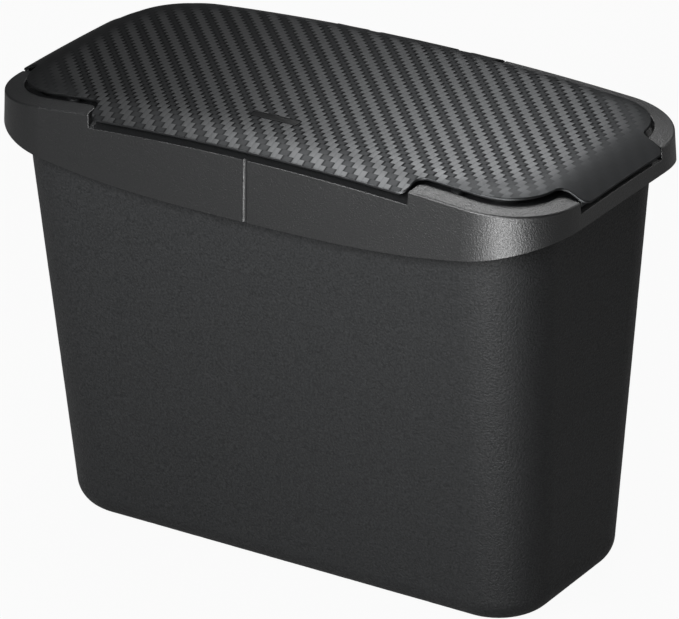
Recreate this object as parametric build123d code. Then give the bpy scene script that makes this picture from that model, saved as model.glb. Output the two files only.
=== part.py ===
from build123d import *
import math
import os

# Car trash bin: a tapered tub, a deep frame over its rim and a crowned lid on a rear hinge.
# Millimetres, +Z up, X along the length, the front faces -Y, the floor is z = 0.

# Tub, half sizes at the foot and under the rim
FOOT_PROUD = 0.8
TUB_FOOT_X = 120.2
TUB_FOOT_Y = 48.5
TUB_FOOT_RADIUS = 26.3
TUB_RIM_X = 130.4
TUB_RIM_Y = 65.5
TUB_RIM_RADIUS = 31.0
TUB_RIM_Z = 190.8
TUB_FOOT_ROUND = 12.5
TUB_WALL = 2.2
TUB_FLOOR = 3.0
FLANGE_X = 136.5
FLANGE_Y = 67.3
FLANGE_RADIUS = 33.0
FLANGE_THICK = 2.0
PANEL_X = 78.0
PANEL_Y = 27.0
PANEL_RADIUS = 10.0
PANEL_DEPTH = 1.2

# Anti-slip feet
FOOT_X = 94.0
FOOT_Y = 23.0
FOOT_DIAMETER = 15.0
FOOT_POCKET = 1.2
FOOT_FREE = 0.1
FOOT_EDGE = 0.4

# Frame over the rim: the outline of its top edge, arched along X
RIM_X = 140.0
RIM_Y = 69.1
RIM_RADIUS = 34.0
RIM_Z = 207.5
ARCH_DROP = 7.4
ARCH_SPAN = 160.0
SKIRT_LOW = 160.0
SKIRT_FLARE = 3.3
SKIRT_WALL = 2.0
SKIRT_MID_Z = 174.0
SKIRT_END_RISE = 14.3
SKIRT_CURVE_POWER = 2.9
SKIRT_CURVE_STEPS = 4
SHOULDER_RISE = 1.6
SHOULDER_WIDTH = 13.0
SHOULDER_THICK = 2.0
RIM_ROUND = 0.9
MOUTH_X = 123.0
MOUTH_Y = 54.0
MOUTH_RADIUS = 14.0
MOUTH_WALL = 1.8
GROOVE_RADIUS = 1.3
GROOVE_DEPTH = 0.8
RIB_THICK = 1.8
RIB_X = (32.0, 98.0)
RIB_Y = 22.0
BEAD_X = 70.0
BEAD_LONG = 16.0
BEAD_DEEP = 1.3
BEAD_HIGH = 2.4
BEAD_FREE = 0.3
BEAD_ROOT = 0.5
REST_RADIUS = 2.5
REST_X = 96.0
REST_Y = 57.0
REST_GAP = 0.55

# Lid: outline of its form, its crown, its sloping border and its tabs
LID_X = 143.0
LID_Y = 73.1
LID_RADIUS = 37.0
LID_TOP = 213.0
LID_CROWN_RADIUS = 1300.0
LID_CROWN_ANGLE = 14.0
BORDER_WIDTH = 11.0
BORDER_SLOPE = 28.0
BORDER_BLEND = 45.0
LID_WALL = 1.8
LID_EDGE = 0.5
EDGE_THICK = 0.9
EDGE_BAND = 2.5
LID_INSET = 9.5
FRONT_TAB_OUT = 1.6
END_TAB_OUT = 2.4
FRONT_TAB_X = 79.3
END_TAB_Y = 32.5
REAR_TAB_X = 42.0
TAB_ROUND = 4.7
NOTCH_ROUND = 4.7
RECESS_DROP = 5.6
RECESS_SIDE = 1.2
RECESS_ROUND = 0.4
LIP_GAP = 1.5
LIP_WALL = 1.5
LIP_DEPTH = 6.0
PLATE_LONG = 24.0
PLATE_WIDE = 5.2
PLATE_ROUND = 1.0
PLATE_Y = -46.0
PLATE_DEPTH = 0.4

# Rear hinge
HINGE_Y = 66.2
HINGE_Z = 205.0
BARREL_RADIUS = 2.9
PIN_RADIUS = 1.5
PIN_RUNNING = 0.05
PIN_PRESS = 0.01
LUG_IN = 19.5
LUG_OUT = 26.5
LUG_SIDE = 0.7
BAY_DEPTH = 4.0
BAY_INNER = 3.5

TALL = 240.0
DEEP = 120.0


def rounded(half_x, half_y, radius):
    """Rounded rectangle given by its half sizes."""
    return RectangleRounded(2 * half_x, 2 * half_y, radius)


def post(plan, low, high):
    """Upright prism of a plan outline between two heights."""
    return extrude(Pos(0, 0, low) * plan, high - low)


def box(x_low, x_high, y_low, y_high, z_low, z_high):
    """Block between given faces."""
    size = (x_high - x_low, y_high - y_low, z_high - z_low)
    middle = ((x_high + x_low) / 2, (y_high + y_low) / 2, (z_high + z_low) / 2)
    return Pos(*middle) * Box(*size)


def rod(x_low, x_high, y, z, radius):
    """Round bar along X."""
    bar = Rot(0, 90, 0) * Cylinder(radius, x_high - x_low)
    return Pos((x_low + x_high) / 2, y, z) * bar


def arch_profile(top):
    """Side view of all that lies under the lengthwise arch whose middle is at this height."""
    fall = ARCH_DROP * (ARCH_SPAN / RIM_X) ** 2
    end = (ARCH_SPAN, top - fall)
    start = (-ARCH_SPAN, top - fall)
    curve = ThreePointArc(start, (0, top), end)
    sides = Polyline(end, (ARCH_SPAN, 0), (-ARCH_SPAN, 0), start)
    return Plane.XZ * make_face(curve + sides)


def arch_solid(top):
    """All that lies under the lengthwise arch."""
    return extrude(arch_profile(top), DEEP, both=True)


def upper_edges(form):
    """Edges where the upright sides of a form meet its top."""
    edges = []
    for face in form.faces():
        span = face.bounding_box()
        if span.min.Z < SKIRT_LOW + 1 < span.max.Z:
            edges += [edge for edge in face.edges() if edge.bounding_box().min.Z > SKIRT_LOW + 1]
    return edges


def tub_section(z, inset):
    """Tub outline at a height, set in by a wall."""
    share = (z - FOOT_PROUD) / (TUB_RIM_Z - FOOT_PROUD)
    half_x = TUB_FOOT_X + (TUB_RIM_X - TUB_FOOT_X) * share - inset
    half_y = TUB_FOOT_Y + (TUB_RIM_Y - TUB_FOOT_Y) * share - inset
    radius = TUB_FOOT_RADIUS + (TUB_RIM_RADIUS - TUB_FOOT_RADIUS) * share - inset
    return Pos(0, 0, z) * rounded(half_x, half_y, radius)


def tub_form(low, high, inset):
    """Tapered tub shape with a rounded foot, set in by a wall."""
    form = loft([tub_section(low, inset), tub_section(high, inset)])
    foot = form.faces().sort_by(Axis.Z)[0].edges()
    return fillet(foot, TUB_FOOT_ROUND - inset)


def foot_places():
    """Where the four feet stand."""
    return {
        "foot_front_left": Pos(-FOOT_X, -FOOT_Y, 0),
        "foot_front_right": Pos(FOOT_X, -FOOT_Y, 0),
        "foot_rear_left": Pos(-FOOT_X, FOOT_Y, 0),
        "foot_rear_right": Pos(FOOT_X, FOOT_Y, 0),
    }


def foot_disc(radius):
    """Upright disc from the floor to the bottom of a foot pocket."""
    return extrude(Circle(radius), FOOT_PROUD + FOOT_POCKET)


def make_foot():
    """Round rubber foot with a chamfered lower edge."""
    disc = foot_disc(FOOT_DIAMETER / 2)
    return chamfer(disc.edges().group_by(Axis.Z)[0], FOOT_EDGE)


def make_bin_body():
    """Tub with a rim flange, a recessed underside and four foot pockets."""
    tub = tub_form(FOOT_PROUD, TUB_RIM_Z, 0)
    tub += post(rounded(FLANGE_X, FLANGE_Y, FLANGE_RADIUS), TUB_RIM_Z - FLANGE_THICK, TUB_RIM_Z)
    tub -= tub_form(FOOT_PROUD + TUB_FLOOR, TUB_RIM_Z + 1, TUB_WALL)
    tub -= post(rounded(PANEL_X, PANEL_Y, PANEL_RADIUS), 0, FOOT_PROUD + PANEL_DEPTH)
    for place in foot_places().values():
        tub -= place * foot_disc(FOOT_DIAMETER / 2 + FOOT_FREE)
    return tub


def lid_form(inset=0, drop=0):
    """Solid under the lid's crowned outer surface with its sloping border, set in by a wall or lowered."""
    centre = LID_TOP - LID_CROWN_RADIUS
    crown = revolve(arch_profile(LID_TOP - inset), Axis((0, 0, centre), (1, 0, 0)), LID_CROWN_ANGLE)
    crown = Pos(0, 0, centre) * Rot(-LID_CROWN_ANGLE / 2, 0, 0) * Pos(0, 0, -centre) * crown
    outline = rounded(LID_X - inset, LID_Y - inset, LID_RADIUS - inset)
    form = post(outline, SKIRT_LOW, TALL) & crown
    top = form.faces().sort_by(Axis.Z)[-1]
    width = BORDER_WIDTH - inset * (1 - math.tan(math.radians(BORDER_SLOPE / 2)))
    fall = width * math.tan(math.radians(BORDER_SLOPE))
    form = chamfer(top.edges(), width, fall, reference=top)
    crease = form.faces().sort_by(Axis.Z)[-1].edges()
    return Pos(0, 0, -drop) * fillet(crease, BORDER_BLEND - inset)


def lid_plan():
    """Lid outline seen from above: inset corners, a wide front tab and an end tab on each side."""
    core = rounded(RIM_X - LID_INSET, RIM_Y - LID_INSET, RIM_RADIUS - LID_INSET)
    end = RectangleRounded(2 * (RIM_X + END_TAB_OUT), 2 * END_TAB_Y, TAB_ROUND)
    front_reach = RIM_Y + FRONT_TAB_OUT
    front = Pos(0, -front_reach / 2) * RectangleRounded(2 * FRONT_TAB_X, front_reach, TAB_ROUND)
    plan = core + end + front
    return offset(offset(plan, NOTCH_ROUND), -NOTCH_ROUND)


def hinge_tab():
    """Square tab at the rear of the lid that carries the hinge barrel."""
    return Pos(0, RIM_Y / 2) * Rectangle(2 * REAR_TAB_X, RIM_Y)


def lug_spans():
    """Where the frame's two lugs stand along the hinge."""
    return ((-LUG_OUT, -LUG_IN), (LUG_IN, LUG_OUT))


def pin_rod(radius):
    """Rod along the hinge that ends flush with the inside of the bay's end walls."""
    half = REAR_TAB_X + RECESS_SIDE + SHOULDER_THICK
    return rod(-half, half, HINGE_Y, HINGE_Z, radius)


def make_lid():
    """Crowned sheet with tabs, a thin edge, a locating lip, a hinge barrel and a blank plate recess."""
    outer = lid_form()
    inner = lid_form(inset=LID_WALL)
    plan = lid_plan()
    lid = fillet(upper_edges(outer & post(plan, SKIRT_LOW, TALL)), LID_EDGE) - inner
    lid -= lid_form(drop=EDGE_THICK) - post(offset(plan, -EDGE_BAND), 0, TALL)
    lid += (outer & post(hinge_tab(), SKIRT_LOW, TALL)) - inner
    lip_x = MOUTH_X - LIP_GAP
    lip_y = MOUTH_Y - LIP_GAP
    lip_radius = MOUTH_RADIUS - LIP_GAP
    lip = rounded(lip_x, lip_y, lip_radius)
    lip -= rounded(lip_x - LIP_WALL, lip_y - LIP_WALL, lip_radius - LIP_WALL)
    lip_depth = lid_form(inset=LID_WALL / 2) - Pos(0, 0, -LIP_DEPTH) * inner
    lid += post(lip, SKIRT_LOW, TALL) & lip_depth
    lid += rod(-REAR_TAB_X, REAR_TAB_X, HINGE_Y, HINGE_Z, BARREL_RADIUS)
    for start, end in lug_spans():
        lid -= box(start - LUG_SIDE, end + LUG_SIDE, HINGE_Y - BAY_INNER, DEEP, SKIRT_LOW, TALL)
    lid -= pin_rod(PIN_RADIUS + PIN_RUNNING)
    plate = Pos(0, PLATE_Y) * RectangleRounded(PLATE_LONG, PLATE_WIDE, PLATE_ROUND)
    return lid - (post(plate, SKIRT_LOW, TALL) - lid_form(drop=PLATE_DEPTH))


def flare_at(z):
    """How far the frame's outer face stands out at a height, past the rim edge."""
    return (RIM_Z - z) * math.tan(math.radians(SKIRT_FLARE))


def flared_block(inset):
    """Block bounded by the skirt's flared face, set in by a wall."""
    sections = []
    for z in (SKIRT_LOW, TALL):
        out = flare_at(z) - inset
        sections.append(Pos(0, 0, z) * rounded(RIM_X + out, RIM_Y + out, RIM_RADIUS + out))
    return loft(sections)


def below_skirt():
    """All that lies under the curved lower edge of the skirt."""
    points = []
    for step in range(-SKIRT_CURVE_STEPS, SKIRT_CURVE_STEPS + 1):
        x = ARCH_SPAN * step / SKIRT_CURVE_STEPS
        rise = SKIRT_END_RISE * (abs(x) / RIM_X) ** SKIRT_CURVE_POWER
        points.append((x, SKIRT_MID_Z + rise))
    sides = Polyline(points[-1], (ARCH_SPAN, 0), (-ARCH_SPAN, 0), points[0])
    return extrude(Plane.XZ * make_face(Spline(*points) + sides), DEEP, both=True)


def frame_form():
    """Outer form of the frame: flared sides, arched top, a shoulder that falls to a soft rim edge."""
    form = flared_block(0) & arch_solid(RIM_Z + SHOULDER_RISE)
    top = form.faces().sort_by(Axis.Z)[-1]
    form = chamfer(top.edges(), SHOULDER_WIDTH, SHOULDER_RISE, reference=top)
    return fillet(upper_edges(form), RIM_ROUND)


def recessed(form, recess):
    """Form with the tab recesses cut in it and their edges on the front and end faces rounded."""
    cut = form - recess
    edges = []
    for edge in new_edges(form, recess, combined=cut):
        middle = edge.position_at(0.5)
        if middle.Y < RIM_ROUND - RIM_Y or abs(middle.X) > RIM_X - RIM_ROUND:
            edges.append(edge)
    return fillet(edges, RECESS_ROUND)


def hinge_bay(grow):
    """Space at the rear in which the lid's barrel turns, grown by a wall."""
    half = REAR_TAB_X + RECESS_SIDE + grow
    return box(-half, half, HINGE_Y - BAY_INNER - grow, DEEP, HINGE_Z - BAY_DEPTH - grow, TALL)


def support_ribs():
    """Ribs across the hollow of the frame that stand on the tub's rim."""
    ribs = []
    half = RIB_THICK / 2
    for x in RIB_X:
        for place in (-x, x):
            ribs.append(box(place - half, place + half, -DEEP, DEEP, TUB_RIM_Z, TALL))
    for y in (-RIB_Y, RIB_Y):
        ribs.append(box(-ARCH_SPAN, ARCH_SPAN, y - half, y + half, TUB_RIM_Z, TALL))
    return ribs


def frame_hollow(cover, recess_floor):
    """Hollow between the skirt and the inner wall, open below and crossed by the ribs."""
    wall = rounded(MOUTH_X + MOUTH_WALL, MOUTH_Y + MOUTH_WALL, MOUTH_RADIUS + MOUTH_WALL)
    hollow = flared_block(SKIRT_WALL) & arch_solid(RIM_Z - SHOULDER_THICK)
    hollow -= post(wall, 0, TALL)
    recess = post(offset(cover, RECESS_SIDE + SHOULDER_THICK), SKIRT_LOW, TALL)
    hollow -= recess - Pos(0, 0, -SHOULDER_THICK) * recess_floor
    hollow -= hinge_bay(SHOULDER_THICK)
    return hollow - support_ribs()


def snap_beads():
    """Wedges inside the skirt that hook under the tub's flange."""
    top = TUB_RIM_Z - FLANGE_THICK - BEAD_FREE
    face = RIM_Y + flare_at(top) - SKIRT_WALL
    wedge = Polyline((face + BEAD_ROOT, top), (face - BEAD_DEEP, top),
                     (face + BEAD_ROOT, top - BEAD_HIGH), close=True)
    bead = extrude(Plane.YZ * make_face(wedge), BEAD_LONG / 2, both=True)
    beads = []
    for x in (-BEAD_X, BEAD_X):
        beads.append(Pos(x, 0, 0) * bead)
        beads.append(Pos(x, 0, 0) * mirror(bead, Plane.XZ))
    return beads


def front_groove():
    """Round-bottomed groove down the middle of the frame's front."""
    axis_y = -(RIM_Y + GROOVE_RADIUS - GROOVE_DEPTH)
    tilt = Pos(0, axis_y, RIM_Z) * Rot(-SKIRT_FLARE, 0, 0)
    return tilt * Cylinder(GROOVE_RADIUS, 2 * (RIM_Z - SKIRT_LOW))


def make_collar_frame():
    """Frame with recesses for the tabs, a hollow skirt, ribs, snap beads and hinge lugs."""
    cover = lid_plan() + hinge_tab()
    recess_floor = lid_form(drop=RECESS_DROP)
    recess = post(offset(cover, RECESS_SIDE), SKIRT_LOW, TALL) - recess_floor
    frame = recessed(frame_form(), recess)
    frame -= hinge_bay(0)
    frame -= post(rounded(MOUTH_X, MOUTH_Y, MOUTH_RADIUS), 0, TALL)
    frame -= frame_hollow(cover, recess_floor)
    frame -= below_skirt()
    frame -= front_groove()
    frame += snap_beads()
    bay_floor = HINGE_Z - BAY_DEPTH
    for start, end in lug_spans():
        frame += rod(start, end, HINGE_Y, HINGE_Z, BARREL_RADIUS)
        frame += box(start, end, HINGE_Y - BARREL_RADIUS, HINGE_Y + BARREL_RADIUS,
                     bay_floor - SHOULDER_THICK / 2, HINGE_Z)
    rest_top = lid_form(drop=LID_WALL + REST_GAP)
    for x in (-REST_X, REST_X):
        for y in (-REST_Y, REST_Y):
            rest = post(Pos(x, y) * Circle(REST_RADIUS), RIM_Z - ARCH_DROP, TALL)
            frame += rest & rest_top
    return frame - pin_rod(PIN_RADIUS - PIN_PRESS)


def main():
    nodes = {
        "bin_body": make_bin_body(),
        "collar_frame": make_collar_frame(),
        "lid": make_lid(),
        "hinge_pin": pin_rod(PIN_RADIUS),
    }
    for name, place in foot_places().items():
        nodes[name] = place * make_foot()
    os.makedirs("parts", exist_ok=True)
    for name, shape in nodes.items():
        export_step(shape, f"parts/{name}.step")


if __name__ == "__main__":
    main()
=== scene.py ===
import math
import bmesh
import bpy
from bpy.props import FloatProperty, FloatVectorProperty, PointerProperty
from mathutils import Matrix, Vector


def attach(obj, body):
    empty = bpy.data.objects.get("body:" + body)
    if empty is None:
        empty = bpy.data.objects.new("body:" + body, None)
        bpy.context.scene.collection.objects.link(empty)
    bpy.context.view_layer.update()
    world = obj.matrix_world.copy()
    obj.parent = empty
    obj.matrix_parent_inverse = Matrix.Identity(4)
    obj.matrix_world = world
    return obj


bl_info = {
    "name": "Car trash bin",
    "version": (1, 0, 0),
    "blender": (4, 5, 0),
    "location": "View3D > Sidebar > Car Bin",
    "description": "Dresses a car trash bin in moulded plastics and sets a plain studio round it",
    "category": "Object",
}

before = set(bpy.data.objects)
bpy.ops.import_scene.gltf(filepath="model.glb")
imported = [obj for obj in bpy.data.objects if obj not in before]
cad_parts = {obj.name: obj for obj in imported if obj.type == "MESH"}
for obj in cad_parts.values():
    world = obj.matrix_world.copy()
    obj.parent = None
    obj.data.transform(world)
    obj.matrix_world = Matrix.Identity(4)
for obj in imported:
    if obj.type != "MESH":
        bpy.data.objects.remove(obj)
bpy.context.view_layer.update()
MM = 0.001
FEET = ["foot_front_left", "foot_front_right", "foot_rear_left", "foot_rear_right"]
WEAVE_NAME = "polypropylene_woven_pattern"

# Top of the lid, the radius of its crown and the recess that takes the bare plate
LID_TOP = 213.0 * MM
CROWN_RADIUS = 1300.0 * MM
PLATE_Y = -46.0 * MM
PLATE_DEPTH = 0.4 * MM

# Middle of a web under a corner of an end tab, and its top inside the lid's wall
WEB_X = 139.2 * MM
WEB_Y = 27.6 * MM
WEB_TOP = 200.5 * MM
# Foot of a web against its top, and its thickness against the radius of its edges
WEB_TAPER = (0.7, 0.9, 1.0)
WEB_ROUND = 6.0

# How strongly the plastics, lacquer and rubber bend light
POLYPROPYLENE_IOR = 1.49
LACQUER_IOR = 1.5
RUBBER_IOR = 1.5

# Part of the noise that is stretched to the whole depth of the moulded grain
GRAIN_DEPTH = {"From Min": 0.25, "From Max": 0.75}

# The twill repeats after four cells, and the light tow lies on top in steps 0 and 1 of them
TWILL_REPEAT = 4.0
LIGHT_LIMIT = 1.5
# How far a dark float has risen out of the painted shadow where it dips, and how far up its crown a tow
# is out of the seam's darkening, which is partly painted shade
NOTCH_SHADOW_RISE = {"From Min": 0.15, "From Max": 0.70}
SEAM_SHADE_CROWN = {"From Max": 0.6}

# Tilt of the lid's surface where the pattern runs out at the ends and rear, and below, and where a
# painted highlight washes it out on the front edge
END_TILT = {"From Min": 0.11, "From Max": 0.30, "To Min": 1.0, "To Max": 0.0}
TOP_TILT = {"From Min": 0.3, "From Max": 0.5}
FRONT_SHEEN_TILT = {"From Min": 0.12, "From Max": 0.35, "To Min": 1.0}
# Curve along which a painted highlight has washed the pattern out at the corners: half its length and
# width, and how square it is
CORNER_X = 130.0 * MM
CORNER_Y = 62.0 * MM
CORNER_POWER = 4.0
# Share of that curve at which the ends of the lid begin, and at which the painted highlight starts to
# wash the pattern out
END_REACH = {"From Min": 0.05, "From Max": 0.35}
CORNER_SHEEN_REACH = {"From Min": 0.55, "From Max": 1.0, "To Min": 1.0}

# Camera: width of the photograph in pixels, width of the sensor in mm, and the farthest distance seen
PHOTO_WIDTH = 679
SENSOR = 36.0
FAR_CLIP = 200.0

# Floor just under the feet, the white of it that a gloss shows, and the white that the eye sees
FLOOR_DROP = 0.1 * MM
FLOOR_GLOSS = 0.15
FLOOR_WHITE = 0.95
# Strength of the even light from all round
WORLD_STRENGTH = 0.025

# Lamps: place and target, width and height in metres, watts, and the rays that a lamp is hidden from
LAMPS = [
    # Broad light on the front of the tub and the frame
    ("front_lamp", (0.07, -0.45, 0.40), (0.02, -0.06, 0.16), (0.44, 0.24), 3.7, None),
    # Sheen over the whole lid, then more of it towards the right end and on the frame's shoulder
    ("back_lamp", (0.10, 1.00, 0.95), (0.10, 0.0, 0.2), (0.9, 0.25), 1.1, None),
    ("left_lamp", (-0.07, 0.29, 0.55), (0.09, -0.05, 0.205), (0.20, 0.13), 0.70, None),
    # Light along the rolled front edge of the lid
    ("top_lamp", (-0.15, 0.03, 0.64), (0.11, -0.06, 0.2), (0.16, 0.16), 0.76, None),
    # Glint on the frame's front right corner
    ("low_lamp", (0.305, -0.41, 0.07), (0.12, -0.06, 0.19), (0.20, 0.14), 1.65, "visible_diffuse"),
    # Fill on the back and the left end
    ("far_lamp", (-0.55, 0.80, 0.45), (0.0, 0.0, 0.1), (0.5, 0.4), 5.0, "visible_glossy"),
    # Glint along the right edges of the lid and the frame
    ("edge_lamp", (0.56, 0.65, 0.42), (0.14, 0.0, 0.2), (0.3, 0.4), 0.6, "visible_diffuse"),
]


def linear(code):
    """Linear colour from an sRGB hex code."""
    channels = [int(code[i:i + 2], 16) / 255 for i in (1, 3, 5)]
    return [c / 12.92 if c <= 0.04045 else ((c + 0.055) / 1.055) ** 2.4 for c in channels]


def opaque(colour):
    """Colour with full alpha, as a shader's socket takes it."""
    return (*colour, 1.0)


def size(name, description, default):
    """Length in metres that a user can change."""
    return FloatProperty(name=name, description=description, default=default, min=0.0,
                         unit="LENGTH", precision=5)


def share(name, description, default):
    """Share from 0 to 1 that a user can change."""
    return FloatProperty(name=name, description=description, default=default, min=0.0, max=1.0,
                         subtype="FACTOR")


def angle(name, description, degrees):
    """Angle that a user can change."""
    return FloatProperty(name=name, description=description, default=math.radians(degrees),
                         subtype="ANGLE")


def colour(name, description, code):
    """Colour that a user can change."""
    return FloatVectorProperty(name=name, description=description, default=linear(code),
                               min=0.0, max=1.0, size=3, subtype="COLOR")


class CARBIN_PG_tub(bpy.types.PropertyGroup):
    pit: colour("Pit", "Colour down in the moulded grain", "#1b1c1d")
    peak: colour("Peak", "Colour on top of the moulded grain", "#38393a")
    grain: size("Grain", "Width of one pit of the spark-eroded grain", 0.9 * MM)
    relief: size("Relief", "Depth of the grain", 0.20 * MM)
    smooth: share("Peak roughness", "Roughness on top of the grain", 0.46)
    rough: share("Pit roughness", "Roughness down in the grain", 0.60)
    gloss: share("Gloss", "Share of the full gloss that the grain leaves", 0.25)


class CARBIN_PG_frame(bpy.types.PropertyGroup):
    pit: colour("Pit", "Colour down in the moulded grain", "#0a0b0c")
    peak: colour("Peak", "Colour on top of the moulded grain", "#1c1d1e")
    grain: size("Grain", "Width of one pit of the fine satin grain", 0.7 * MM)
    relief: size("Relief", "Depth of the grain", 0.10 * MM)
    smooth: share("Peak roughness", "Roughness on top of the grain", 0.34)
    rough: share("Pit roughness", "Roughness down in the grain", 0.46)
    gloss: share("Gloss", "Share of the full gloss that the grain leaves", 0.94)


class CARBIN_PG_lid(bpy.types.PropertyGroup):
    tow: size("Tow", "Width of a tow that runs from front to back", 2.65 * MM)
    pick: size("Pick", "Width of a tow that runs along the lid", 2.85 * MM)
    # Painted shadow: near-black where a dark float dips under a light one
    notch_shadow: colour("Notch", "Colour where a dark float dips under a light one", "#080808")
    # Dark seam where two tows meet: partly real, partly painted shade of each tow's crown falling away
    seam: share("Seam", "Share of the colour left where two tows meet", 0.80)
    light: colour("Light float", "Colour of the floats that run from front to back", "#68696a")
    dark: colour("Dark float", "Colour of the floats that run along the lid", "#3e3f40")
    # Also the colour that the painted highlight washes the weave towards at the corners and on the front
    # edge
    plain: colour("Plain", "Colour where the pattern runs out", "#454647")
    # Painted highlight: share of the pattern left under a painted highlight at the lid's rounded corners
    corner: share("Corner", "Share of the pattern left at the lid's rounded corners", 0.25)
    # Painted highlight: share of the pattern left under a painted highlight on the rolled front edge
    rolled_edge_sheen: share("Rolled edge", "Share of the pattern left on the rolled front edge", 0.62)
    metal: share("Metal", "How much the tows shine like metal", 0.98)
    dull: share("Dull", "Share of the gloss left at a flat view", 0.50)
    relief: size("Relief", "Height of a float's crown", 0.02 * MM)
    light_rough: share("Light roughness", "Roughness of the light floats", 0.42)
    dark_rough: share("Dark roughness", "Roughness of the dark floats", 0.46)


class CARBIN_PG_plate(bpy.types.PropertyGroup):
    # Dark lacquer, made darker still so that the plate reads as the shaded slot it lies in: partly its
    # own colour, partly painted shade
    lacquer: colour("Lacquer", "Colour of the bare plate let into the lid", "#121314")
    rubbed: share("Rubbed", "Share of the colour left in the rubbed lines", 0.5)
    smooth: share("Line roughness", "Roughness in the rubbed lines", 0.34)
    rough: share("Ridge roughness", "Roughness between the rubbed lines", 0.58)
    gloss: share("Gloss", "Share of the full gloss that the rubbing leaves", 0.18)
    streak: size("Streak", "Length of a rubbed line", 6.0 * MM)
    fine: size("Fine", "Width of a rubbed line", 0.2 * MM)
    length: size("Length", "Length of the plate", 23.2 * MM)
    width: size("Width", "Width of the plate", 4.4 * MM)
    height: size("Height", "Thickness of the plate", 0.5 * MM)
    corner: size("Corner", "Radius of the plate's corners", 0.8 * MM)
    edge: size("Edge", "Radius of the plate's upper edge", 0.15 * MM)


class CARBIN_PG_webs(bpy.types.PropertyGroup):
    width: size("Width", "Thickness of a web under an end tab", 2.2 * MM)
    length: size("Length", "Length of a web under an end tab", 9.0 * MM)
    height: size("Height", "Height of a web under an end tab", 3.2 * MM)


class CARBIN_PG_pin(bpy.types.PropertyGroup):
    steel: colour("Steel", "Colour of the drawn steel", "#a2a4a6")
    worn: share("Marks", "Share of the colour left in the drawing marks", 0.7)
    smooth: share("Mark roughness", "Roughness in the drawing marks", 0.22)
    rough: share("Ridge roughness", "Roughness between the drawing marks", 0.46)
    streak: size("Streak", "Length of a drawing mark", 12.0 * MM)
    fine: size("Fine", "Width of a drawing mark", 0.15 * MM)


class CARBIN_PG_feet(bpy.types.PropertyGroup):
    worn: colour("Worn", "Colour of the rubber where it is rubbed", "#2e2d2c")
    fresh: colour("Fresh", "Colour of the rubber elsewhere", "#1c1c1b")
    smooth: share("Fresh roughness", "Roughness of the fresh rubber", 0.7)
    rough: share("Worn roughness", "Roughness of the rubbed rubber", 0.9)
    gloss: share("Gloss", "Share of the full gloss that rubber has", 0.3)
    speck: size("Speck", "Width of a speck in the rubber", 0.5 * MM)


class CARBIN_PG_stage(bpy.types.PropertyGroup):
    azimuth: angle("Azimuth", "Camera's turn from the front towards the right end", 33.35)
    elevation: angle("Elevation", "Camera's angle above the floor", 24.60)
    roll: angle("Roll", "Camera's turn about its own line of sight", -1.02)
    distance: size("Distance", "From the camera to the middle of the bin", 2.3228)
    aim_height: size("Aim height", "Height that the camera looks at", 0.10614)
    focal: FloatProperty(name="Focal length", description="Focal length in pixels of the photograph",
                         default=5372.65, min=1.0, subtype="PIXEL")
    floor_half: size("Floor", "Half the length of a side of the floor", 40.0)
    floor: colour("Floor", "Colour of the floor", "#858585")


def add_node(tree, kind, links=None, values=None, **settings):
    """Adds a node with its settings, its socket values and the outputs that feed it."""
    node = tree.nodes.new(kind)
    for name, value in settings.items():
        setattr(node, name, value)
    for socket, value in (values or {}).items():
        node.inputs[socket].default_value = value
    for socket, output in (links or {}).items():
        tree.links.new(output, node.inputs[socket])
    return node


def new_material(name):
    """Node material with nothing in it yet."""
    material = bpy.data.materials.new(name)
    material.use_nodes = True
    material.node_tree.nodes.clear()
    return material


def dress(names, material):
    """Gives CAD nodes a finished material in place of the plain one."""
    for name in names:
        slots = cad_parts[name].material_slots
        if not slots:
            raise RuntimeError(f"{name} has no material slot")
        for slot in slots:
            slot.material = material


def new_piece(name, shape, material):
    """Smooth object from a finished bmesh, which is freed."""
    mesh = bpy.data.meshes.new(name)
    shape.to_mesh(mesh)
    shape.free()
    for face in mesh.polygons:
        face.use_smooth = True
    mesh.materials.append(material)
    piece = bpy.data.objects.new(name, mesh)
    bpy.context.scene.collection.objects.link(piece)
    return piece


def grained_polypropylene(name, look):
    """Polypropylene moulded in a spark-eroded tool: dull, with tiny pits that break up the light."""
    material = new_material(name)
    tree = material.node_tree
    place = add_node(tree, "ShaderNodeTexCoord")
    # The real pits are about 0.2 mm wide and would not show, so they are drawn coarser.
    pits = add_node(tree, "ShaderNodeTexNoise", {"Vector": place.outputs["Object"]},
                    {"Scale": 1 / look.grain, "Detail": 2.0, "Roughness": 0.6})
    height = add_node(tree, "ShaderNodeMapRange", {"Value": pits.outputs["Fac"]}, GRAIN_DEPTH)
    tone = add_node(tree, "ShaderNodeMix", {"Factor": height.outputs["Result"]},
                    {"A": opaque(look.pit), "B": opaque(look.peak)}, data_type="RGBA")
    gloss = add_node(tree, "ShaderNodeMapRange", {"Value": height.outputs["Result"]},
                     {"To Min": look.rough, "To Max": look.smooth})
    bump = add_node(tree, "ShaderNodeBump", {"Height": height.outputs["Result"]},
                    {"Distance": look.relief, "Strength": 1.0})
    shader = add_node(tree, "ShaderNodeBsdfPrincipled",
                      {"Base Color": tone.outputs["Result"], "Roughness": gloss.outputs["Result"],
                       "Normal": bump.outputs["Normal"]},
                      {"IOR": POLYPROPYLENE_IOR, "Specular IOR Level": look.gloss})
    add_node(tree, "ShaderNodeOutputMaterial", {"Surface": shader.outputs["BSDF"]})
    return material


class CARBIN_OT_tub(bpy.types.Operator):
    """Dresses the tub in dull grained polypropylene"""
    bl_idname = "carbin.tub"
    bl_label = "Tub"

    def execute(self, context):
        dress(["bin_body"], grained_polypropylene("polypropylene_grained", context.scene.carbin_tub))
        return {"FINISHED"}


class CARBIN_OT_frame(bpy.types.Operator):
    """Dresses the frame in satin polypropylene"""
    bl_idname = "carbin.frame"
    bl_label = "Frame"

    def execute(self, context):
        dress(["collar_frame"], grained_polypropylene("polypropylene_satin", context.scene.carbin_frame))
        return {"FINISHED"}


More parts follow.
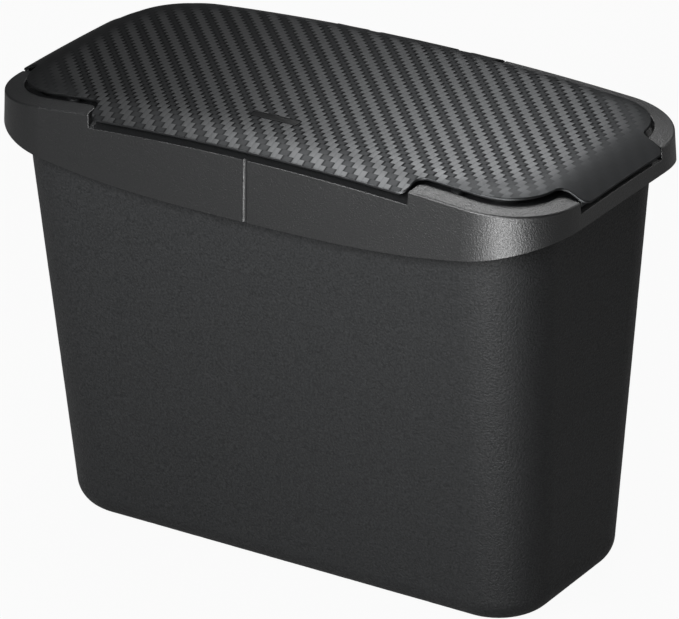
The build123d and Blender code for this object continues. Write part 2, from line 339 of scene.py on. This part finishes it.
def twill(tree, spot, look):
    """Two over, two under: if the light tow is on top, a float's crown, and the share of its colour left
    by the painted shadow at its ends and the seam's darkening.
    """
    cells = {}
    parts = {}
    for axis, width in (("X", look.tow), ("Y", look.pick)):
        count = add_node(tree, "ShaderNodeMath", {0: spot.outputs[axis]}, {1: width},
                         operation="DIVIDE").outputs[0]
        cells[axis] = add_node(tree, "ShaderNodeMath", {0: count}, operation="FLOOR").outputs[0]
        parts[axis] = add_node(tree, "ShaderNodeMath", {0: count}, operation="FRACT").outputs[0]
    # The sum of row and column, in fours, says which tow lies on top.
    row = add_node(tree, "ShaderNodeMath", {0: cells["X"], 1: cells["Y"]}, operation="ADD").outputs[0]
    step = add_node(tree, "ShaderNodeMath", {0: row}, {1: TWILL_REPEAT},
                    operation="FLOORED_MODULO").outputs[0]
    light = add_node(tree, "ShaderNodeMath", {0: step}, {1: LIGHT_LIMIT},
                     operation="LESS_THAN").outputs[0]
    # A float is a low crown, rounded across its tow.
    across = add_node(tree, "ShaderNodeMix", {"Factor": light, "A": parts["Y"], "B": parts["X"]},
                      data_type="FLOAT").outputs["Result"]
    turn = add_node(tree, "ShaderNodeMath", {0: across}, {1: math.pi}, operation="MULTIPLY").outputs[0]
    crown = add_node(tree, "ShaderNodeMath", {0: turn}, operation="SINE").outputs[0]
    # It is two cells long. A dark one gets a painted shadow, near black, at each end, where it dips under
    # a light one.
    along = add_node(tree, "ShaderNodeMix", {"Factor": light, "A": parts["X"], "B": parts["Y"]},
                     data_type="FLOAT").outputs["Result"]
    place = add_node(tree, "ShaderNodeMath", {0: step, 1: along}, operation="ADD").outputs[0]
    swing = add_node(tree, "ShaderNodeMath", {0: place}, {1: math.pi / 2},
                     operation="MULTIPLY").outputs[0]
    wave = add_node(tree, "ShaderNodeMath", {0: swing}, operation="SINE").outputs[0]
    rise = add_node(tree, "ShaderNodeMath", {0: wave}, operation="ABSOLUTE").outputs[0]
    clear = add_node(tree, "ShaderNodeMapRange", {"Value": rise}, NOTCH_SHADOW_RISE,
                     interpolation_type="SMOOTHSTEP").outputs["Result"]
    risen = add_node(tree, "ShaderNodeMath", {0: clear, 1: light}, operation="MAXIMUM").outputs[0]
    # Side by side, two tows meet in a faint dark seam, and painted shade darkens each tow towards it as
    # its crown falls away.
    seam = add_node(tree, "ShaderNodeMapRange", {"Value": crown}, {**SEAM_SHADE_CROWN, "To Min": look.seam},
                    interpolation_type="SMOOTHSTEP").outputs["Result"]
    lit = add_node(tree, "ShaderNodeMath", {0: risen, 1: seam}, operation="MULTIPLY").outputs[0]
    return light, crown, lit


def pattern_left(tree, spot, normal, look):
    """Share of the pattern that is left at a place on the lid, where it runs out and where a painted
    highlight washes it out.
    """
    # It runs out on the ends and at the rear edge, and is not on the underside.
    end = add_node(tree, "ShaderNodeMath", {0: normal.outputs["X"]}, operation="ABSOLUTE").outputs[0]
    edge = add_node(tree, "ShaderNodeMath", {0: end, 1: normal.outputs["Y"]},
                    operation="MAXIMUM").outputs[0]
    inner = add_node(tree, "ShaderNodeMapRange", {"Value": edge}, END_TILT,
                     interpolation_type="SMOOTHSTEP").outputs["Result"]
    top = add_node(tree, "ShaderNodeMapRange", {"Value": normal.outputs["Z"]}, TOP_TILT,
                   interpolation_type="SMOOTHSTEP").outputs["Result"]
    # It is fainter where the front edge rolls over, washed out there by a painted highlight.
    slope = add_node(tree, "ShaderNodeMath", {0: normal.outputs["Y"]}, operation="ABSOLUTE").outputs[0]
    rolled_edge_sheen = add_node(tree, "ShaderNodeMapRange", {"Value": slope},
                      {**FRONT_SHEEN_TILT, "To Max": look.rolled_edge_sheen},
                      interpolation_type="SMOOTHSTEP").outputs["Result"]
    # A painted highlight also washes it out towards the rounded corners, along a curve that follows the
    # lid's outline.
    reach = {}
    for axis, half in (("X", CORNER_X), ("Y", CORNER_Y)):
        far = add_node(tree, "ShaderNodeMath", {0: spot.outputs[axis]}, operation="ABSOLUTE").outputs[0]
        ratio = add_node(tree, "ShaderNodeMath", {0: far}, {1: half}, operation="DIVIDE").outputs[0]
        reach[axis] = add_node(tree, "ShaderNodeMath", {0: ratio}, {1: CORNER_POWER},
                               operation="POWER").outputs[0]
    beside = add_node(tree, "ShaderNodeMapRange", {"Value": reach["X"]}, END_REACH,
                      interpolation_type="SMOOTHSTEP").outputs["Result"]
    outward = add_node(tree, "ShaderNodeMath", {0: reach["Y"], 1: beside, 2: reach["X"]},
                       operation="MULTIPLY_ADD").outputs[0]
    corner = add_node(tree, "ShaderNodeMapRange", {"Value": outward},
                      {**CORNER_SHEEN_REACH, "To Max": look.corner},
                      interpolation_type="SMOOTHSTEP").outputs["Result"]
    left = inner
    for part in (top, corner, rolled_edge_sheen):
        left = add_node(tree, "ShaderNodeMath", {0: left, 1: part}, operation="MULTIPLY").outputs[0]
    return left


def woven_polypropylene(look):
    """Polypropylene moulded with a carbon weave: light and dark floats in slanting rows, with a sheen."""
    material = new_material(WEAVE_NAME)
    tree = material.node_tree
    place = add_node(tree, "ShaderNodeTexCoord")
    spot = add_node(tree, "ShaderNodeSeparateXYZ", {"Vector": place.outputs["Object"]})
    normal = add_node(tree, "ShaderNodeSeparateXYZ", {"Vector": place.outputs["Normal"]})
    light, crown, lit = twill(tree, spot, look)
    shown = pattern_left(tree, spot, normal, look)
    weave = add_node(tree, "ShaderNodeMix", {"Factor": light},
                     {"A": opaque(look.dark), "B": opaque(look.light)}, data_type="RGBA")
    # The weave darkened by the painted shadow at the float ends and by the seams, which are partly
    # painted shade
    shaded_weave = add_node(tree, "ShaderNodeMix", {"Factor": lit, "B": weave.outputs["Result"]},
                      {"A": opaque(look.notch_shadow)}, data_type="RGBA")
    # Where the pattern runs out, and under the painted highlight, the weave gives way to the plain colour
    tone = add_node(tree, "ShaderNodeMix", {"Factor": shown, "B": shaded_weave.outputs["Result"]},
                    {"A": opaque(look.plain)}, data_type="RGBA")
    gloss = add_node(tree, "ShaderNodeMapRange", {"Value": light},
                     {"To Min": look.dark_rough, "To Max": look.light_rough})
    height = add_node(tree, "ShaderNodeMath", {0: crown, 1: shown}, operation="MULTIPLY").outputs[0]
    bump = add_node(tree, "ShaderNodeBump", {"Height": height},
                    {"Distance": look.relief, "Strength": 1.0})
    # The tint keeps the weave from washing out at a flat view.
    shader = add_node(tree, "ShaderNodeBsdfPrincipled",
                      {"Base Color": tone.outputs["Result"], "Roughness": gloss.outputs["Result"],
                       "Normal": bump.outputs["Normal"]},
                      {"IOR": POLYPROPYLENE_IOR, "Metallic": look.metal,
                       "Specular Tint": opaque([look.dull] * 3)})
    add_node(tree, "ShaderNodeOutputMaterial", {"Surface": shader.outputs["BSDF"]})
    return material


class CARBIN_OT_lid(bpy.types.Operator):
    """Dresses the lid in polypropylene moulded with a carbon weave"""
    bl_idname = "carbin.lid"
    bl_label = "Lid"

    def execute(self, context):
        dress(["lid"], woven_polypropylene(context.scene.carbin_lid))
        return {"FINISHED"}


def brushed_lacquer(look):
    """Dark lacquer rubbed in fine lines along the plate, so that it glints less than the weave; its
    darkness is partly painted shade of the slot.
    """
    material = new_material("lacquer_brushed")
    tree = material.node_tree
    place = add_node(tree, "ShaderNodeTexCoord")
    lines = add_node(tree, "ShaderNodeMapping", {"Vector": place.outputs["Object"]},
                     {"Scale": (1 / look.streak, 1 / look.fine, 1 / MM)})
    rub = add_node(tree, "ShaderNodeTexNoise", {"Vector": lines.outputs["Vector"]},
                   {"Scale": 1.0, "Detail": 2.0})
    gloss = add_node(tree, "ShaderNodeMapRange", {"Value": rub.outputs["Fac"]},
                     {"To Min": look.smooth, "To Max": look.rough})
    tone = add_node(tree, "ShaderNodeMix", {"Factor": rub.outputs["Fac"]},
                    {"A": opaque([look.rubbed * part for part in look.lacquer]),
                     "B": opaque(look.lacquer)}, data_type="RGBA")
    shader = add_node(tree, "ShaderNodeBsdfPrincipled",
                      {"Base Color": tone.outputs["Result"], "Roughness": gloss.outputs["Result"]},
                      {"IOR": LACQUER_IOR, "Specular IOR Level": look.gloss})
    add_node(tree, "ShaderNodeOutputMaterial", {"Surface": shader.outputs["BSDF"]})
    return material


def bare_plate(look):
    """Thin plate with rounded corners and a softened upper edge, bent to the crown of the lid."""
    shape = bmesh.new()
    bmesh.ops.create_grid(shape, x_segments=1, y_segments=1, size=0.5)
    bmesh.ops.scale(shape, vec=(look.length, look.width, 1.0), verts=shape.verts)
    bmesh.ops.bevel(shape, geom=shape.verts[:], offset=look.corner, offset_type="OFFSET", segments=5,
                    profile=0.5, affect="VERTICES", material=-1)
    made = bmesh.ops.extrude_face_region(shape, geom=shape.faces[:])
    raised = [part for part in made["geom"] if isinstance(part, bmesh.types.BMVert)]
    bmesh.ops.translate(shape, vec=(0.0, 0.0, look.height), verts=raised)
    bmesh.ops.recalc_face_normals(shape, faces=shape.faces)
    rim = [edge for edge in shape.edges if all(vert.co.z > look.height / 2 for vert in edge.verts)]
    bmesh.ops.bevel(shape, geom=rim, offset=look.edge, offset_type="OFFSET", segments=3,
                    profile=0.5, affect="EDGES", material=-1)
    for vert in shape.verts:
        across = vert.co.y + PLATE_Y
        vert.co.z += LID_TOP - PLATE_DEPTH - (vert.co.x ** 2 + across ** 2) / (2 * CROWN_RADIUS)
        vert.co.y = across
    return shape


class CARBIN_OT_plate(bpy.types.Operator):
    """Lets a bare plate into the lid"""
    bl_idname = "carbin.plate"
    bl_label = "Plate"

    def execute(self, context):
        look = context.scene.carbin_plate
        plate = new_piece("lid_plate", bare_plate(look), brushed_lacquer(look))
        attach(plate, "cover")
        return {"FINISHED"}


def slot_shade_webs(look):
    """Small tapered webs under the corners of the two end tabs, set back in the shade of the slots there
    so that the white floor does not show through.
    """
    shape = bmesh.new()
    for side in (-1, 1):
        for end in (-1, 1):
            web = bmesh.ops.create_cube(shape, size=1.0)["verts"]
            bmesh.ops.scale(shape, vec=(look.width, look.length, look.height), verts=web)
            foot = [vert for vert in web if vert.co.z < 0]
            bmesh.ops.scale(shape, vec=WEB_TAPER, verts=foot)
            middle = (side * WEB_X, end * WEB_Y, WEB_TOP - look.height / 2)
            bmesh.ops.translate(shape, vec=middle, verts=web)
    bmesh.ops.bevel(shape, geom=shape.edges[:], offset=look.width / WEB_ROUND, offset_type="OFFSET",
                    segments=3, profile=0.5, affect="EDGES", material=-1)
    return shape


class CARBIN_OT_webs(bpy.types.Operator):
    """Puts webs in the lid's own material into the shade under the lid's end tabs, to keep the slots
    there dark
    """
    bl_idname = "carbin.webs"
    bl_label = "Webs"

    def execute(self, context):
        weave = bpy.data.materials.get(WEAVE_NAME)
        if weave is None:
            raise RuntimeError("the lid has to be dressed before its webs")
        webs = new_piece("slot_shade_webs", slot_shade_webs(context.scene.carbin_webs), weave)
        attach(webs, "cover")
        return {"FINISHED"}


def drawn_steel(look):
    """Bright steel wire drawn through a die: long fine streaks that stretch its shine."""
    material = new_material("steel_drawn")
    tree = material.node_tree
    place = add_node(tree, "ShaderNodeTexCoord")
    lines = add_node(tree, "ShaderNodeMapping", {"Vector": place.outputs["Object"]},
                     {"Scale": (1 / look.streak, 1 / look.fine, 1 / look.fine)})
    marks = add_node(tree, "ShaderNodeTexNoise", {"Vector": lines.outputs["Vector"]},
                     {"Scale": 1.0, "Detail": 3.0})
    gloss = add_node(tree, "ShaderNodeMapRange", {"Value": marks.outputs["Fac"]},
                     {"To Min": look.smooth, "To Max": look.rough})
    tone = add_node(tree, "ShaderNodeMix", {"Factor": marks.outputs["Fac"]},
                    {"A": opaque([look.worn * part for part in look.steel]),
                     "B": opaque(look.steel)}, data_type="RGBA")
    shader = add_node(tree, "ShaderNodeBsdfPrincipled",
                      {"Base Color": tone.outputs["Result"], "Roughness": gloss.outputs["Result"]},
                      {"Metallic": 1.0})
    add_node(tree, "ShaderNodeOutputMaterial", {"Surface": shader.outputs["BSDF"]})
    return material


class CARBIN_OT_pin(bpy.types.Operator):
    """Dresses the hinge pin in drawn steel"""
    bl_idname = "carbin.pin"
    bl_label = "Hinge pin"

    def execute(self, context):
        dress(["hinge_pin"], drawn_steel(context.scene.carbin_pin))
        return {"FINISHED"}


def moulded_rubber(look):
    """Soft black rubber: almost no shine, with fine greyish specks."""
    material = new_material("rubber_moulded")
    tree = material.node_tree
    place = add_node(tree, "ShaderNodeTexCoord")
    specks = add_node(tree, "ShaderNodeTexNoise", {"Vector": place.outputs["Object"]},
                      {"Scale": 1 / look.speck, "Detail": 3.0})
    tone = add_node(tree, "ShaderNodeMix", {"Factor": specks.outputs["Fac"]},
                    {"A": opaque(look.fresh), "B": opaque(look.worn)}, data_type="RGBA")
    gloss = add_node(tree, "ShaderNodeMapRange", {"Value": specks.outputs["Fac"]},
                     {"To Min": look.smooth, "To Max": look.rough})
    shader = add_node(tree, "ShaderNodeBsdfPrincipled",
                      {"Base Color": tone.outputs["Result"], "Roughness": gloss.outputs["Result"]},
                      {"IOR": RUBBER_IOR, "Specular IOR Level": look.gloss})
    add_node(tree, "ShaderNodeOutputMaterial", {"Surface": shader.outputs["BSDF"]})
    return material


class CARBIN_OT_feet(bpy.types.Operator):
    """Dresses the four feet in moulded rubber"""
    bl_idname = "carbin.feet"
    bl_label = "Feet"

    def execute(self, context):
        dress(FEET, moulded_rubber(context.scene.carbin_feet))
        return {"FINISHED"}


def studio_paper(look):
    """White paper: looks white to the eye and in a gloss, and keeps a soft shadow."""
    material = new_material("studio_paper")
    tree = material.node_tree
    path = add_node(tree, "ShaderNodeLightPath")
    gloss = add_node(tree, "ShaderNodeMath",
                     {0: path.outputs["Is Glossy Ray"], 1: path.outputs["Is Transmission Ray"]},
                     operation="ADD", use_clamp=True)
    through = add_node(tree, "ShaderNodeMath", {0: gloss.outputs[0], 2: path.outputs["Is Camera Ray"]},
                       {1: FLOOR_GLOSS}, operation="MULTIPLY_ADD", use_clamp=True)
    part = add_node(tree, "ShaderNodeMath", {0: through.outputs[0]}, {1: FLOOR_WHITE},
                    operation="MULTIPLY")
    matt = add_node(tree, "ShaderNodeBsdfDiffuse", None, {"Color": opaque(look.floor)})
    white = add_node(tree, "ShaderNodeEmission", None,
                     {"Color": opaque(linear("#ffffff")), "Strength": 1.0})
    mixed = add_node(tree, "ShaderNodeMixShader",
                     {0: part.outputs[0], 1: matt.outputs[0], 2: white.outputs[0]})
    add_node(tree, "ShaderNodeOutputMaterial", {"Surface": mixed.outputs[0]})
    return material


def lay_floor(look):
    """Wide flat floor just under the feet."""
    shape = bmesh.new()
    bmesh.ops.create_grid(shape, x_segments=1, y_segments=1, size=look.floor_half)
    bmesh.ops.translate(shape, vec=(0.0, 0.0, -FLOOR_DROP), verts=shape.verts)
    floor = new_piece("studio_floor", shape, studio_paper(look))


def dim_world(scene):
    """Faint even light from all round."""
    world = bpy.data.worlds.new("studio")
    scene.world = world
    world.use_nodes = True
    world.node_tree.nodes.clear()
    sky = add_node(world.node_tree, "ShaderNodeBackground", None,
                   {"Color": opaque(linear("#ffffff")), "Strength": WORLD_STRENGTH})
    add_node(world.node_tree, "ShaderNodeOutputWorld", {"Surface": sky.outputs["Background"]})


def aim(place, target, roll=0.0):
    """Placing of a lamp or camera at a place, looking at a target."""
    back = (place - target).normalized()
    right = (-back).cross(Vector((0, 0, 1))).normalized()
    up = right.cross(-back)
    across = right * math.cos(roll) + up * math.sin(roll)
    rise = up * math.cos(roll) - right * math.sin(roll)
    return Matrix.Translation(place) @ Matrix((across, rise, back)).transposed().to_4x4()


def soft_box(scene, name, place, target, area, watts, hidden_from):
    """Rectangular studio lamp that looks at a target."""
    lamp = bpy.data.lights.new(name, "AREA")
    lamp.shape = "RECTANGLE"
    lamp.size, lamp.size_y = area
    lamp.energy = watts
    holder = bpy.data.objects.new(name, lamp)
    scene.collection.objects.link(holder)
    holder.matrix_world = aim(Vector(place), Vector(target))
    if hidden_from:
        setattr(holder, hidden_from, False)


def place_camera(scene, look):
    """Camera where the photograph was taken from."""
    target = Vector((0.0, 0.0, look.aim_height))
    level = math.cos(look.elevation)
    back = Vector((math.sin(look.azimuth) * level, -math.cos(look.azimuth) * level,
                   math.sin(look.elevation)))
    lens = bpy.data.cameras.new("photo_camera")
    lens.sensor_fit = "HORIZONTAL"
    lens.sensor_width = SENSOR
    lens.lens = look.focal * SENSOR / PHOTO_WIDTH
    lens.clip_end = FAR_CLIP
    camera = bpy.data.objects.new("photo_camera", lens)
    scene.collection.objects.link(camera)
    camera.matrix_world = aim(target + back * look.distance, target, look.roll)
    scene.camera = camera


class CARBIN_OT_stage(bpy.types.Operator):
    """Lays a pale floor and sets the studio lamps, the world and the camera"""
    bl_idname = "carbin.stage"
    bl_label = "Stage"

    def execute(self, context):
        scene = context.scene
        look = scene.carbin_stage
        scene.view_settings.view_transform = "Standard"
        lay_floor(look)
        dim_world(scene)
        for lamp in LAMPS:
            soft_box(scene, *lamp)
        place_camera(scene, look)
        return {"FINISHED"}


class CARBIN_PT_panel(bpy.types.Panel):
    """Lists the steps that dress the bin"""
    bl_idname = "CARBIN_PT_panel"
    bl_label = "Car Bin"
    bl_space_type = "VIEW_3D"
    bl_region_type = "UI"
    bl_category = "Car Bin"

    def draw(self, context):
        for name, group, step in STEPS:
            box = self.layout.box()
            for setting in group.__annotations__:
                box.prop(getattr(context.scene, name), setting)
            box.operator(step.bl_idname)


# Each step's settings in the scene, the group that holds them and the operator that uses them
STEPS = [
    ("carbin_tub", CARBIN_PG_tub, CARBIN_OT_tub),
    ("carbin_frame", CARBIN_PG_frame, CARBIN_OT_frame),
    ("carbin_lid", CARBIN_PG_lid, CARBIN_OT_lid),
    ("carbin_plate", CARBIN_PG_plate, CARBIN_OT_plate),
    ("carbin_webs", CARBIN_PG_webs, CARBIN_OT_webs),
    ("carbin_pin", CARBIN_PG_pin, CARBIN_OT_pin),
    ("carbin_feet", CARBIN_PG_feet, CARBIN_OT_feet),
    ("carbin_stage", CARBIN_PG_stage, CARBIN_OT_stage),
]


def register():
    """Makes the settings, the steps and the panel known to Blender."""
    for name, group, step in STEPS:
        bpy.utils.register_class(group)
        bpy.utils.register_class(step)
        setattr(bpy.types.Scene, name, PointerProperty(type=group))
    bpy.utils.register_class(CARBIN_PT_panel)


def unregister():
    """Takes them out again."""
    bpy.utils.unregister_class(CARBIN_PT_panel)
    for name, group, step in reversed(STEPS):
        delattr(bpy.types.Scene, name)
        bpy.utils.unregister_class(step)
        bpy.utils.unregister_class(group)


def main():
    """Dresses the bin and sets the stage."""
    register()
    bpy.ops.carbin.tub()
    bpy.ops.carbin.frame()
    bpy.ops.carbin.lid()
    bpy.ops.carbin.plate()
    bpy.ops.carbin.webs()
    bpy.ops.carbin.pin()
    bpy.ops.carbin.feet()
    bpy.ops.carbin.stage()


if __name__ == "__main__":
    main()
